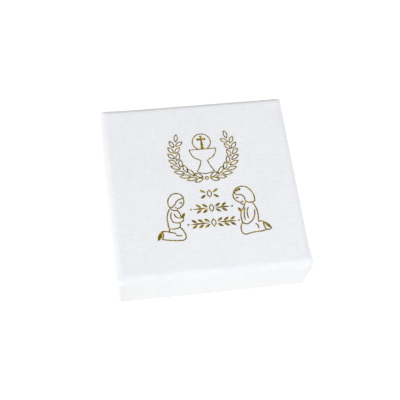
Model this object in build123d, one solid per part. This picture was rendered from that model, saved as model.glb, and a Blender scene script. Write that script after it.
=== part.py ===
from build123d import *
import math
import os

# A small rigid gift box for a pair of earrings. A folded greyboard tray holds a flocked foam pad, and a
# second tray, as deep as the first, is the lift-off lid. Both are wrapped in white paper, and the lid
# carries a print in gold foil.
# Millimetres, +Z up. The origin is the middle of the underside, and the front of the box faces -Y.

# The closed box, measured over the paper.
box_width = 60.0
box_depth = 60.0
box_height = 18.2
fold_radius = 1.9  # a folded board edge, along the lid's top and the base's foot
corner_radius = 0.85  # an upright corner
rim_radius = 0.3  # paper folded over a board's cut edge

# Sheet goods, by thickness.
board = 1.4
paper = 0.2
lining_paper = 0.12
foot_paper = 0.15
stay_tape = 0.1
foil = 0.04

# The lid on the base.
lid_reveal = 0.7  # the lid's rim stops this far above the table
lid_gap = 0.35  # air between the two walls, on each side
seat_gap = 0.2  # air between the base's rim and the lid's lining

# The paper wraps.
turn_in = 10.0  # turned in over a rim and down the inside of a wall
turn_in_slant = 1.5  # cut back at each end of a turned-in flap
turn_under = 9.0  # turned under the base's foot
flap_setback = 0.9  # the front and back flaps stop this short of the upright corners
flap_step = 0.08  # depth of the step at that edge
foot_sheet_margin = 0.7  # the foot sheet's edge, in from the foot's fold
lining_margin = 0.4  # the lining's edge, in from the lid's walls

# The corners of the boards.
seam = 0.15  # butt seam between two walls
stay_leg = 8.0  # gummed tape, along each wall
stay_end = 0.6  # the tape stops this far from a rim and from a fold

# The earring pad.
pad_gap = 0.3  # between the pad and the turned-in paper
pad_card_thickness = 0.5
pad_height = 7.2  # from the tray's floor to the pad's upper edge
pad_crown = 0.45  # how far its middle stands above that edge
pad_edge_radius = 1.2
pad_corner_radius = 2.0
flock_sheet = 0.4
post_spacing = 20.0  # from one earring's post to the other's
post_hole_radius = 0.6
post_line = 7.0  # the posts' line, behind the pad's middle
slit_length = 8.0
slit_width = 0.8
slit_line = -3.0  # the line of the two slits for hooks and hoops
pad_cut_depth = 5.0

# The foil print, on the lid's top. Its heights are measured from the lid's middle towards the back.
print_shift = 1.2  # the print stands this far right of the lid's middle,
print_drop = 0.4  # and this far in front of it
foil_line = 0.32
figure_line = 0.37
lens_flats = 4  # flats along each side of a leaf or another pointed oval
lens_fullness = 0.8  # 1 for a half wave, less for a fuller side

wreath_radius = 9.4
wreath_height = 12.0  # of the middle of the ring that the branches follow
outer_leaves = 9
outer_start = 6.0  # degrees from the bottom of the ring to the first leaf outside it,
outer_end = 104.0  # and to the last
inner_leaves = 7
inner_start = 6.5  # the same for the leaves inside it
inner_end = 108.0
tip_angle = 117.0  # degrees to the single leaf at the tip
leaf_length = 3.1
leaf_width = 1.48
leaf_tilt_low = 24.0  # a leaf's angle to the ring, at the bottom,
leaf_tilt_high = 44.0  # and at the tip
tip_tilt = -10.0  # the tip's own leaf turns out
leaf_aside = 0.2  # each leaf starts this far to one side of the ring
knot_radius = 0.5

cup_rim = (4.3, 13.1)  # the cup's outline, as distance from its middle line and height
cup_side = (3.85, 11.4)
cup_belly = (2.95, 10.05)
cup_throat = (1.95, 9.5)
cup_waist = (1.05, 8.9)
cup_shank = (1.72, 6.9)
cup_foot = (2.8, 5.05)
cup_sole = 4.25

host_height = 15.75
host_radius = 2.93
cross_top = 18.0
cross_bar_height = 16.7
cross_bar_half = 1.42
cross_line = 0.5
cross_flare = 0.22

figure_height = 16.1
boy_place = (-13.6, -18.1)
girl_place = (12.4, -17.95)

divider_heights = (-2.9, -7.9, -12.95)
divider_rules = (0, 4.9, 6.4)  # length of the tapered rule on each side, from the top row down
divider_sprigs = (1, 2, 3)  # pairs of sprigs on each side
rule_width = 0.55
lozenge_height = 2.9
lozenge_width = 1.7
sprig_length = 2.1
sprig_width = 0.8
sprig_tilt = 34.0
sprig_aside = 0.35
sprig_pitch = 2.0
bead_radius = 0.3
bead_gap = 0.15

# What follows from these. A board's wall stands between two layers of paper: board sizes are those of
# the bare board, inside sizes those between its walls, and clear sizes those between the turned-in paper.
lid_board_width = box_width - 2 * paper
lid_board_depth = box_depth - 2 * paper
lid_board_rim = lid_reveal + paper
lid_inside_width = lid_board_width - 2 * board
lid_inside_depth = lid_board_depth - 2 * board
lid_clear_width = lid_inside_width - 2 * paper
lid_clear_depth = lid_inside_depth - 2 * paper
lid_ceiling = box_height - paper - board

base_width = lid_clear_width - 2 * lid_gap
base_depth = lid_clear_depth - 2 * lid_gap
base_rim = lid_ceiling - lining_paper - seat_gap
base_board_width = base_width - 2 * paper
base_board_depth = base_depth - 2 * paper
base_board_foot = foot_paper + paper
base_inside_width = base_board_width - 2 * board
base_inside_depth = base_board_depth - 2 * board
base_clear_width = base_inside_width - 2 * paper
base_clear_depth = base_inside_depth - 2 * paper
base_floor = base_board_foot + board

pad_width = base_clear_width - 2 * pad_gap
pad_depth = base_clear_depth - 2 * pad_gap


def fold_profile(length, low, high, low_radius, high_radius):
    # The side view of a folded tray, from low to high, rounded at its folds.
    outline = Pos(0, (low + high) / 2) * Rectangle(length, high - low)
    if high_radius > 0:
        outline = fillet(outline.vertices().group_by(Axis.Y)[-1], high_radius)
    if low_radius > 0:
        outline = fillet(outline.vertices().group_by(Axis.Y)[0], low_radius)
    return outline


def folded_form(width, depth, low, high, low_radius, high_radius, upright_radius):
    # The outside of a folded tray. Each fold is rounded along one wall, and two folds meet in a mitre.
    front_view = Plane.XZ * fold_profile(width, low, high, low_radius, high_radius)
    side_view = Plane.YZ * fold_profile(depth, low, high, low_radius, high_radius)
    plan = Pos(0, 0, low) * RectangleRounded(width, depth, upright_radius)
    along_y = extrude(front_view, depth, both=True)
    along_x = extrude(side_view, width, both=True)
    return along_y & along_x & extrude(plan, high - low)


def block(width, depth, low, high):
    return Pos(0, 0, (low + high) / 2) * Box(width, depth, high - low)


def corners(width, depth):
    # The four corners of a rectangle, anticlockwise from the front left.
    return [Pos(x * width / 2, y * depth / 2, 0) for x, y in ((-1, -1), (1, -1), (1, 1), (-1, 1))]


def corner_stays(width, depth, low, high):
    # Four strips of gummed tape, let into the outside of a board's corners.
    radius = corner_radius - paper
    outside = RectangleRounded(width, depth, radius)
    inside = RectangleRounded(width - 2 * stay_tape, depth - 2 * stay_tape, radius - stay_tape)
    band = extrude(Pos(0, 0, low) * (outside - inside), high - low)
    reach = block(2 * stay_leg, 2 * stay_leg, low, high)
    return [band & (place * reach) for place in corners(width, depth)]


def butt_seams(width, depth, low, high):
    # The gaps between the ends of the walls, along the diagonal of each upright corner.
    cut = block(seam, 8 * board, low, high)
    turns = (-45, 45, -45, 45)
    return [place * Rot(0, 0, turn) * cut for place, turn in zip(corners(width, depth), turns)]


def turned_in_flaps(width, depth, rim, upwards):
    # Four flaps of paper against the inside of a board's walls, from the rim inwards, with slanted ends.
    flaps = []
    up = Vector(0, 0, 1 if upwards else -1)
    for x, y in ((0, -1), (1, 0), (0, 1), (-1, 0)):
        length = width if x == 0 else depth
        end = length / 2 - turn_in_slant
        outline = Polygon((-length / 2, 0), (length / 2, 0), (end, turn_in), (-end, turn_in), align=None)
        inward = Vector(-x, -y, 0)
        foot = (x * width / 2, y * depth / 2, rim)
        wall = Plane(origin=foot, x_dir=up.cross(inward), z_dir=inward)
        flaps.append(extrude(wall * outline, paper))
    return flaps


def rim_edges(solid, width, depth, height):
    # The inner edges of a wrapped rim.
    on_rim = solid.edges().filter_by_position(Axis.Z, height - 0.001, height + 0.001)
    across = on_rim.filter_by_position(Axis.X, -width / 2 - 0.001, width / 2 + 0.001)
    return across.filter_by_position(Axis.Y, -depth / 2 - 0.001, depth / 2 + 0.001)


def lid_board_form():
    return folded_form(
        lid_board_width,
        lid_board_depth,
        lid_board_rim,
        box_height - paper,
        0,
        fold_radius - paper,
        corner_radius - paper,
    )


def lid_corner_stays():
    top = box_height - fold_radius - stay_end
    return corner_stays(lid_board_width, lid_board_depth, lid_board_rim + stay_end, top)


def lid_board_part():
    # One blank, folded down on four sides.
    hollow = block(lid_inside_width, lid_inside_depth, 0, lid_ceiling)
    seams = butt_seams(lid_board_width, lid_board_depth, 0, lid_ceiling)
    return lid_board_form() - hollow - lid_corner_stays() - seams


def lid_wrap_part():
    outside = folded_form(
        box_width, box_depth, lid_reveal, box_height, rim_radius, fold_radius, corner_radius
    )
    opening = block(lid_clear_width, lid_clear_depth, 0, lid_board_rim + paper)
    flaps = turned_in_flaps(lid_inside_width, lid_inside_depth, lid_reveal, True)
    wrap = outside - lid_board_form() - opening + flaps
    wrap = fillet(rim_edges(wrap, lid_clear_width, lid_clear_depth, lid_reveal), rim_radius / 2)
    # The front and back flaps are pasted over the ears of the side flaps, and stop short of the corners.
    ear = block(2 * flap_setback, 2 * flap_step, 0, box_height - fold_radius)
    ears = [place * ear for place in corners(box_width, box_depth)]
    return wrap - ears


def lid_lining_part():
    width = lid_inside_width - 2 * lining_margin
    depth = lid_inside_depth - 2 * lining_margin
    return block(width, depth, lid_ceiling - lining_paper, lid_ceiling)


def base_board_form():
    return folded_form(
        base_board_width,
        base_board_depth,
        base_board_foot,
        base_rim - paper,
        fold_radius - paper,
        0,
        corner_radius - paper,
    )


def base_corner_stays():
    low = foot_paper + fold_radius + stay_end
    return corner_stays(base_board_width, base_board_depth, low, base_rim - paper - stay_end)


def base_board_part():
    # The same kind of blank, folded up.
    hollow = block(base_inside_width, base_inside_depth, base_floor, base_rim)
    seams = butt_seams(base_board_width, base_board_depth, base_floor, base_rim)
    return base_board_form() - hollow - base_corner_stays() - seams


def base_wrap_part():
    outside = folded_form(
        base_width, base_depth, foot_paper, base_rim, fold_radius, rim_radius, corner_radius
    )
    opening = block(base_clear_width, base_clear_depth, base_rim - 2 * paper, base_rim)
    bare = block(base_width - 2 * turn_under, base_depth - 2 * turn_under, 0, base_board_foot)
    flaps = turned_in_flaps(base_inside_width, base_inside_depth, base_rim, False)
    wrap = outside - base_board_form() - opening - bare + flaps
    return fillet(rim_edges(wrap, base_clear_width, base_clear_depth, base_rim), rim_radius / 2)


def base_foot_sheet_part():
    margin = fold_radius + foot_sheet_margin
    return block(base_width - 2 * margin, base_depth - 2 * margin, 0, foot_paper)


def pad_profile(length, low, inset):
    # The side view of the pad: a shallow arc between two rounded edges.
    edge = base_floor + pad_height - inset
    half = length / 2
    crown = ThreePointArc((half, edge), (0, edge + pad_crown), (-half, edge))
    sides = Polyline((-half, edge), (-half, low), (half, low), (half, edge))
    outline = make_face([crown] + sides.edges())
    return fillet(outline.vertices().group_by(Axis.Y)[-1], pad_edge_radius - inset)


def pad_plan(inset):
    return RectangleRounded(pad_width - 2 * inset, pad_depth - 2 * inset, pad_corner_radius - inset)


def pad_form(inset, low):
    # The pad's outside, moved inwards by inset: rounded edges and a low crown.
    front_view = Plane.XZ * pad_profile(pad_width - 2 * inset, low, inset)
    side_view = Plane.YZ * pad_profile(pad_depth - 2 * inset, low, inset)
    along_y = extrude(front_view, pad_depth, both=True)
    along_x = extrude(side_view, pad_width, both=True)
    upright = extrude(Pos(0, 0, low) * pad_plan(inset), pad_height + pad_crown)
    return along_y & along_x & upright


def pad_cuts():
    # A post hole and a slit for each earring.
    top = base_floor + pad_height + pad_crown
    low = top - pad_cut_depth
    cuts = []
    for side in (-1, 1):
        x = side * post_spacing / 2
        hole = Circle(post_hole_radius)
        slit = SlotOverall(slit_length, slit_width)
        cuts.append(extrude(Pos(x, post_line, low) * hole, top - low))
        cuts.append(extrude(Pos(x, slit_line, low) * slit, top - low))
    return cuts


def pad_card_part():
    return extrude(Pos(0, 0, base_floor) * pad_plan(flock_sheet), pad_card_thickness)


def pad_foam_part():
    return pad_form(flock_sheet, base_floor + pad_card_thickness) - pad_cuts()


def pad_cover_part():
    return pad_form(0, base_floor) - pad_form(flock_sheet, base_floor) - pad_cuts()


def pen(start, middle, end, line=foil_line):
    # One stroke of a pen with pointed ends, along the arc through three points.
    path = ThreePointArc(start, middle, end)
    left, right = [], []
    for at in (0, 0.5, 1):
        aside = (path % at).rotate(Axis.Z, 90) * (line / 2)
        left.append(path @ at + aside)
        right.append(path @ at - aside)
    nose = path @ 1 + (path % 1) * (line / 2)
    tail = path @ 0 - (path % 0) * (line / 2)
    outline = [ThreePointArc(*left), ThreePointArc(*reversed(right))]
    outline += Polyline(left[2], nose, right[2]).edges()
    outline += Polyline(right[0], tail, left[0]).edges()
    return make_face(outline)


def lens(length, width):
    # A pointed oval that starts at the origin and lies along X, each side a full half wave in a few flats.
    outline = []
    for step in range(2 * lens_flats):
        share = 1 - abs(1 - step / lens_flats)
        y = width / 2 * math.sin(math.pi * share) ** lens_fullness
        outline.append((length * share, -y if step < lens_flats else y))
    return Polygon(*outline, align=None)


def ring(radius):
    return Circle(radius + foil_line / 2) - Circle(radius - foil_line / 2)


def outlined(shape):
    # The line of a closed shape, kept inside its edge.
    return shape - offset(shape, -foil_line)


def mirrored(faces):
    return faces + [mirror(face, Plane.YZ) for face in faces]


def stamped(faces):
    # Flat faces, fused and laid on the lid's top as foil.
    place = Pos(print_shift, -print_drop, box_height)
    return extrude(place * (Sketch() + faces), foil, dir=(0, 0, 1))


def wreath_place(angle):
    # A place on the ring, its X axis along the branch, at an angle from the bottom of the ring.
    turn = math.radians(angle)
    x = wreath_radius * math.sin(turn)
    y = wreath_height - wreath_radius * math.cos(turn)
    return Pos(x, y) * Rot(0, 0, angle)


def leaf_row(leaf, count, start, end, side):
    # The leaves on one side of a branch. They open further from it towards the tip.
    row = []
    for number in range(count):
        angle = start + (end - start) * number / (count - 1)
        tilt = leaf_tilt_low + (leaf_tilt_high - leaf_tilt_low) * angle / tip_angle
        aside = Pos(0, side * leaf_aside) * Rot(0, 0, side * tilt)
        row.append(wreath_place(angle) * aside * leaf)
    return row


def foil_wreath_part():
    # Two branches follow one ring, each with a row of leaves on both sides and one leaf at its tip.
    leaf = outlined(lens(leaf_length, leaf_width))
    leaves = [wreath_place(tip_angle) * Rot(0, 0, tip_tilt) * leaf]
    leaves += leaf_row(leaf, outer_leaves, outer_start, outer_end, -1)
    leaves += leaf_row(leaf, inner_leaves, inner_start, inner_end, 1)
    knot = Pos(0, wreath_height - wreath_radius) * ring(knot_radius)
    return stamped(mirrored(leaves) + [knot])


def foil_chalice_part():
    bowl = pen(cup_rim, cup_side, cup_belly)
    throat = pen(cup_belly, cup_throat, cup_waist)
    foot = pen(cup_waist, cup_shank, cup_foot)
    rim = Pos(0, cup_rim[1]) * SlotCenterToCenter(2 * cup_rim[0], foil_line)
    sole = pen((-cup_foot[0], cup_foot[1]), (0, cup_sole), cup_foot)
    return stamped(mirrored([bowl, throat, foot]) + [rim, sole])


def foil_host_part():
    # A disc outline that stands in the cup, and the cross on it, whose arms flare towards their ends.
    above_rim = cup_rim[1] + foil_line / 2
    room = 2 * (host_radius + foil_line)
    inside_cup = Pos(0, above_rim - room / 2) * Rectangle(room, room)
    disc = Pos(0, host_height) * ring(host_radius) - inside_cup
    waist, end = cross_line / 2, cross_line / 2 + cross_flare
    reaches = (cross_bar_half, cross_top - cross_bar_height, cross_bar_half, cross_bar_height - above_rim)
    outline = []
    for quarter, reach in enumerate(reaches):
        for corner in (Vector(reach, -end), Vector(reach, end), Vector(waist, waist)):
            outline.append(corner.rotate(Axis.Z, 90 * quarter))
    cross = Pos(0, cross_bar_height) * Polygon(*outline, align=None)
    return stamped([disc, cross])


def figure(strokes, shapes, discs, place, facing):
    # A kneeling figure on a grid of 16 squares to its height, drawn facing +X and mirrored to face -X.
    square = figure_height / 16
    faces = []
    for stroke in strokes:
        faces.append(pen(*[(x * square, y * square) for x, y in stroke], figure_line))
    for x, y, length, width, turn in shapes:
        shape = Rot(0, 0, turn) * lens(length * square, width * square)
        faces.append(Pos(x * square, y * square) * shape)
    for x, y, radius in discs:
        faces.append(Pos(x * square, y * square) * Circle(radius * square))
    if facing < 0:
        faces = [mirror(face, Plane.YZ) for face in faces]
    return stamped([Pos(*place) * face for face in faces])


def foil_boy_part():
    hair = [
        ((0.5, 11.7), (0.2, 13.6), (1.0, 15.2)),
        ((1.0, 15.2), (3.4, 16.1), (5.2, 14.2)),
        ((5.2, 14.2), (3.9, 14.0), (2.7, 13.2)),
        ((2.7, 13.2), (2.4, 12.5), (1.8, 12.0)),
        ((0.5, 11.7), (1.1, 11.5), (1.8, 12.0)),
    ]
    face = [
        ((5.1, 14.0), (5.1, 12.7), (4.2, 11.5)),
        ((4.2, 11.5), (3.3, 11.0), (2.3, 11.4)),
        ((3.8, 12.9), (4.15, 12.65), (4.5, 12.9)),
    ]
    shirt = [
        ((0.8, 11.1), (1.7, 10.4), (2.9, 10.5)),
        ((0.5, 11.1), (-0.5, 8.9), (-0.6, 6.4)),
        ((-0.6, 6.4), (-0.6, 5.4), (-0.3, 4.4)),
        ((2.7, 10.4), (3.3, 9.5), (3.6, 8.3)),
        ((0.9, 9.8), (0.5, 8.0), (1.1, 6.5)),
        ((1.1, 6.5), (2.6, 6.1), (4.0, 6.5)),
        ((4.0, 6.5), (4.3, 7.1), (4.3, 7.8)),
        ((1.7, 9.2), (2.2, 8.1), (3.5, 7.7)),
        ((3.6, 8.3), (3.7, 8.0), (3.5, 7.7)),
        ((3.0, 6.2), (3.1, 5.4), (2.9, 4.6)),
        ((-0.3, 4.4), (1.3, 4.2), (2.9, 4.6)),
    ]
    trousers = [
        ((2.9, 4.6), (3.9, 3.2), (4.4, 1.7)),
        ((4.4, 1.7), (4.1, 0.6), (3.0, 0.2)),
        ((3.0, 0.2), (0.0, 0.5), (-3.0, 1.1)),
        ((-0.3, 4.4), (-0.5, 3.8), (-0.3, 3.2)),
        ((-0.3, 3.2), (-1.5, 3.6), (-2.8, 3.7)),
        ((-0.3, 3.2), (0.6, 3.0), (1.4, 2.6)),
        ((1.4, 2.1), (2.3, 1.8), (3.2, 1.8)),
        ((-2.8, 3.7), (-2.5, 2.4), (-3.0, 1.1)),
    ]
    hands_and_shoe = [(3.9, 7.5, 2.1, 0.9, 60), (-2.8, 3.7, 3.4, 1.2, -116)]
    return figure(hair + face + shirt + trousers, hands_and_shoe, [], boy_place, 1)


def foil_girl_part():
    hair = [
        ((4.7, 14.6), (2.8, 16.3), (0.4, 16.1)),
        ((0.4, 16.1), (-1.1, 14.3), (-1.6, 11.6)),
        ((-1.6, 11.6), (-1.3, 10.9), (-0.6, 10.8)),
        ((-0.6, 10.8), (0.6, 10.8), (1.5, 11.7)),
        ((1.5, 11.7), (1.8, 13.0), (2.9, 13.7)),
        ((2.9, 13.7), (3.9, 13.8), (4.7, 14.6)),
    ]
    face = [
        ((4.9, 14.1), (4.9, 12.7), (4.0, 11.5)),
        ((4.0, 11.5), (3.1, 11.0), (2.2, 11.3)),
        ((3.5, 12.8), (3.85, 12.55), (4.2, 12.8)),
    ]
    sleeve = [
        ((1.9, 10.2), (2.4, 9.0), (3.2, 8.1)),
        ((3.2, 8.1), (3.6, 6.2), (3.4, 4.2)),
        ((3.4, 4.2), (2.7, 3.6), (1.8, 3.5)),
        ((1.8, 3.5), (-0.3, 5.3), (-0.9, 8.0)),
        ((1.9, 8.9), (2.5, 6.9), (2.4, 4.9)),
        ((0.9, 9.0), (1.5, 7.2), (1.3, 5.4)),
    ]
    gown = [
        ((1.4, 11.0), (2.0, 10.3), (3.0, 10.6)),
        ((-0.7, 10.5), (-1.6, 8.4), (-1.8, 6.2)),
        ((-1.8, 6.2), (-1.7, 5.0), (-1.5, 3.9)),
        ((3.5, 4.0), (4.1, 2.8), (4.2, 1.4)),
        ((4.2, 1.4), (3.6, 0.3), (2.5, 0.1)),
        ((2.5, 0.1), (0.6, 0.5), (-1.2, 0.6)),
        ((-1.2, 0.6), (-2.5, 0.7), (-3.6, 1.0)),
        ((-1.5, 3.9), (-2.3, 4.0), (-3.1, 3.8)),
        ((-3.1, 3.8), (-3.1, 2.4), (-3.6, 1.0)),
        ((-0.6, 3.3), (-1.2, 2.6), (-1.3, 1.7)),
    ]
    foot = [((-3.6, 1.0), (-4.6, 1.0), (-5.3, 1.5))]
    hands_and_shoe = [(3.1, 7.5, 2.1, 0.9, 63), (-3.1, 3.8, 3.3, 1.0, -133)]
    flowers = [(2.8, 15.5, 0.45), (3.7, 15.2, 0.45), (4.5, 14.5, 0.4)]
    strokes = hair + face + sleeve + gown + foot
    return figure(strokes, hands_and_shoe, flowers, girl_place, -1)


def divider(rule_length, sprig_pairs):
    # An ornament about a lozenge: on each side, pairs of sprigs along a tapered rule that ends in a bead.
    lozenge = Rot(0, 0, 90) * Pos(-lozenge_height / 2, 0) * outlined(lens(lozenge_height, lozenge_width))
    start = lozenge_width / 2 + foil_line
    side = []
    for way in (-1, 1):
        sprig = Rot(0, 0, way * sprig_tilt) * lens(sprig_length, sprig_width)
        for pair in range(sprig_pairs):
            side.append(Pos(start + pair * sprig_pitch, way * sprig_aside) * sprig)
    if rule_length > 0:
        side.append(Pos(start, 0) * lens(rule_length, rule_width))
        side.append(Pos(start + rule_length + bead_gap + bead_radius, 0) * Circle(bead_radius))
    return [lozenge] + mirrored(side)


def foil_dividers_part():
    faces = []
    for height, rule_length, sprig_pairs in zip(divider_heights, divider_rules, divider_sprigs):
        faces += [Pos(0, height) * face for face in divider(rule_length, sprig_pairs)]
    return stamped(faces)


os.makedirs("parts", exist_ok=True)
parts = {
    "lid_board": lid_board_part(),
    "lid_wrap": lid_wrap_part(),
    "lid_lining": lid_lining_part(),
    "base_board": base_board_part(),
    "base_wrap": base_wrap_part(),
    "base_foot_sheet": base_foot_sheet_part(),
    "pad_card": pad_card_part(),
    "pad_foam": pad_foam_part(),
    "pad_cover": pad_cover_part(),
    "foil_wreath": foil_wreath_part(),
    "foil_chalice": foil_chalice_part(),
    "foil_host": foil_host_part(),
    "foil_boy": foil_boy_part(),
    "foil_girl": foil_girl_part(),
    "foil_dividers": foil_dividers_part(),
}
for number, stay in enumerate(lid_corner_stays(), 1):
    parts[f"lid_corner_stay_{number}"] = stay
for number, stay in enumerate(base_corner_stays(), 1):
    parts[f"base_corner_stay_{number}"] = stay
for name, solid in parts.items():
    export_step(solid, f"parts/{name}.step")
    print(name, len(solid.solids()), round(solid.volume, 3))
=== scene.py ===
# %% [markdown]
# # A gift box for a pair of earrings
# The box is folded greyboard: a tray with a flocked foam pad, and a lid as deep as the tray. White
# paper with a linen grain is pasted round both, and the lid carries a print in gold foil. Its nodes
# already sit where they belong, in metres, so every piece below takes its place from them.

# %% Load the frame
import math

import bmesh
import bpy
from mathutils import Matrix, Vector, noise


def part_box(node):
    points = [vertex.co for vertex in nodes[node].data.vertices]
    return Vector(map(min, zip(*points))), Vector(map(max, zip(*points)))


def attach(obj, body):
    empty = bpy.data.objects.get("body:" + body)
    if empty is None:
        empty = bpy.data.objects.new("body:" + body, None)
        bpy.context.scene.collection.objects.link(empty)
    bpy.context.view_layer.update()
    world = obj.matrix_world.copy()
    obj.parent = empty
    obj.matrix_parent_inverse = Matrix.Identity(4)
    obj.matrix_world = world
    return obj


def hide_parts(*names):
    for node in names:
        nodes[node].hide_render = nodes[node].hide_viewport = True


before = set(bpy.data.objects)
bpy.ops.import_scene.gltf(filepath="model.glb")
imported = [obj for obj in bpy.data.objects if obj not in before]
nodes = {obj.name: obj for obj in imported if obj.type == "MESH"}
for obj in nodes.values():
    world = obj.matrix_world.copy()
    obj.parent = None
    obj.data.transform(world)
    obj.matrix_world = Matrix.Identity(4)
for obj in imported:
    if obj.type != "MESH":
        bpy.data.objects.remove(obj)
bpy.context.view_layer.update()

MM = 0.001
scene = bpy.context.scene

# %% [markdown]
# ## Sizes
# What the frame can't tell is written here once: how thick the sheet goods are and how tightly they
# fold. Everything else is read from the boxes of the nodes.

# %% Sheet goods and folds
paper = 0.2 * MM
board = 1.4 * MM
foil = 0.04 * MM
fold_radius = 1.9 * MM  # along the lid's top and the base's foot
corner_radius = 0.85 * MM  # an upright corner
mitre_radius = 0.3 * MM  # where two folds meet at the top of a corner
rim_radius = 0.3 * MM  # paper folded over the board's cut edge, outside
inner_rim_radius = 0.15 * MM
turn_in = 10.0 * MM  # paper pasted down the inside of a wall
turn_in_slant = 1.5 * MM  # its ends are cut this far aslant
turn_under = 9.0 * MM  # paper pasted under the base
flap_step = 0.08 * MM  # the front and back flaps lie this far out over the side flaps' ears

lid_low, lid_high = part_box("lid_wrap")
base_low, base_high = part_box("base_wrap")
wall = board + 2 * paper
print("lid, mm:", [round(v / MM, 2) for v in lid_high - lid_low])
print("base, mm:", [round(v / MM, 2) for v in base_high - base_low])

# %% [markdown]
# ## Camera
# The photograph looks down on the box from the front, a little left of its middle, with a longish
# lens. An azimuth and an elevation round the box give the direction to the camera, and the roll
# turns the picture about it.

# %% Camera
camera_azimuth = math.radians(-16.9)
camera_elevation = math.radians(64.2)
camera_roll = math.radians(10.05)
camera_distance = 304.4 * MM
camera_target = Vector((0.42, 2.9, 0.6)) * MM
camera_lens, sensor_width = 81.7, 36  # both in mm, as Blender asks for them
nearest_seen = 10 * MM


def aim_camera():
    level = math.cos(camera_elevation)
    back = Vector((math.sin(camera_azimuth) * level, -math.cos(camera_azimuth) * level, 0))
    back.z = math.sin(camera_elevation)
    right = (-back).cross(Vector((0, 0, 1))).normalized()
    up = back.cross(right)
    rolled_right = right * math.cos(camera_roll) + up * math.sin(camera_roll)
    rolled_up = up * math.cos(camera_roll) - right * math.sin(camera_roll)
    turn = Matrix((rolled_right, rolled_up, back)).transposed().to_4x4()
    camera = bpy.data.objects.new("camera", bpy.data.cameras.new("camera"))
    camera.data.lens = camera_lens
    camera.data.sensor_width = sensor_width
    camera.data.clip_start = nearest_seen
    camera.matrix_world = Matrix.Translation(camera_target + back * camera_distance) @ turn
    scene.collection.objects.link(camera)
    scene.camera = camera
    print("camera at, mm:", [round(v / MM, 1) for v in camera.matrix_world.translation])


aim_camera()

# %% [markdown]
# ## Shader maths as expressions
# A material is a tree of nodes, and most of its nodes only do sums. The class below wraps one
# socket, so that `1 - mask * 0.3` writes the Math nodes by itself, in the wreath's tree too.
# Colours and vectors have nodes of their own kind, because a Math node would turn a colour grey.

# %% Wire: one socket, with operators
def operator(kind):
    """What a sign does with a wire before it, and with a wire after it."""
    return (
        lambda wire, other: wire.maths(kind, wire, other),
        lambda wire, other: wire.maths(kind, other, wire),
    )


class Wire:
    """The output of a node, as a value that can be reckoned with."""

    def __init__(self, tree, socket):
        self.tree = tree
        self.socket = socket

    def maths(self, operation, *values):
        """A Math node on these values, numbers or wires."""
        inputs = dict(enumerate(values))
        return add_node(self.tree, "ShaderNodeMath", {"operation": operation}, inputs)

    __add__, __radd__ = operator("ADD")
    __sub__, __rsub__ = operator("SUBTRACT")
    __mul__, __rmul__ = operator("MULTIPLY")
    __truediv__, __rtruediv__ = operator("DIVIDE")

    def wave(self):
        """A sine, moved and shrunk to run between 0 and 1."""
        return self.maths("SINE", self) * 0.5 + 0.5

    def bell(self, middle, spread):
        """1 at the middle, fading out on both sides of it."""
        offset = (self - middle) / spread
        return self.maths("EXPONENT", offset * offset * -1)

    def ramp(self, low, high):
        """0 below low, 1 above high, with a smooth step between them."""
        settings = {"interpolation_type": "SMOOTHSTEP"}
        inputs = {"Value": self, "From Min": low, "From Max": high, "To Min": 0.0, "To Max": 1.0}
        return add_node(self.tree, "ShaderNodeMapRange", settings, inputs)


# %% One node of a tree
def add_node(tree, kind, settings=None, inputs=None, output=0):
    """One node: its type, its settings, then the values or wires of its inputs."""
    node = tree.nodes.new(kind)
    for key, value in (settings or {}).items():
        setattr(node, key, value)
    for key, value in (inputs or {}).items():
        if isinstance(value, Wire):
            tree.links.new(value.socket, node.inputs[key])
        else:
            node.inputs[key].default_value = value
    return Wire(tree, node.outputs[output])


# %% [markdown]
# More helpers cover what the finishes below share: a place on the piece or on the flat sheet,
# cloudy noise, a blend of two colours, and a bump. With them a finish is a recipe of a few lines.
# The sizes and depths named before it are in millimetres, and the plain numbers in it are
# proportions: how much each pattern adds, and between which levels it is cut.

# %% Places on a piece
def in_millimetres(place, stretch):
    """A place in millimetres. A stretch of 3 makes the pattern three times as long that way."""
    scale = [1 / MM / factor for factor in stretch]
    return add_node(place.tree, "ShaderNodeMapping", inputs={"Vector": place, "Scale": scale})


def object_place(tree, stretch=(1, 1, 1)):
    """Where a point is on the piece."""
    return in_millimetres(add_node(tree, "ShaderNodeTexCoord", output="Object"), stretch)


def sheet_place(tree, stretch=(1, 1, 1)):
    """Where a point is on the flat sheet, before it was folded."""
    return in_millimetres(add_node(tree, "ShaderNodeUVMap", {"uv_map": "sheet"}), stretch)


def split(vector):
    """The X, Y and Z of a vector."""
    node = add_node(vector.tree, "ShaderNodeSeparateXYZ", inputs={"Vector": vector}).socket.node
    return [Wire(vector.tree, node.outputs[axis]) for axis in "XYZ"]


# %% Noise, colours and bump
def cloud(place, size, detail=2.0, roughness=0.5):
    """Noise between 0 and 1 whose lumps are about size millimetres across."""
    inputs = {"Vector": place, "Scale": 1 / size, "Detail": detail, "Roughness": roughness}
    return add_node(place.tree, "ShaderNodeTexNoise", {"noise_dimensions": "3D"}, inputs)


def tint(share, first, second):
    """A blend from the first colour to the second."""
    inputs = {0: share, 6: first, 7: second}
    settings = {"data_type": "RGBA", "clamp_factor": True}
    return add_node(share.tree, "ShaderNodeMix", settings, inputs, output=2)


def colour(red, green, blue):
    return (red, green, blue, 1.0)


def grain(height, depth, strength=1.0):
    """A bump from a height between 0 and 1, whose full depth is given in millimetres."""
    inputs = {"Height": height, "Distance": depth * MM, "Strength": strength}
    return add_node(height.tree, "ShaderNodeBump", inputs=inputs)


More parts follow.
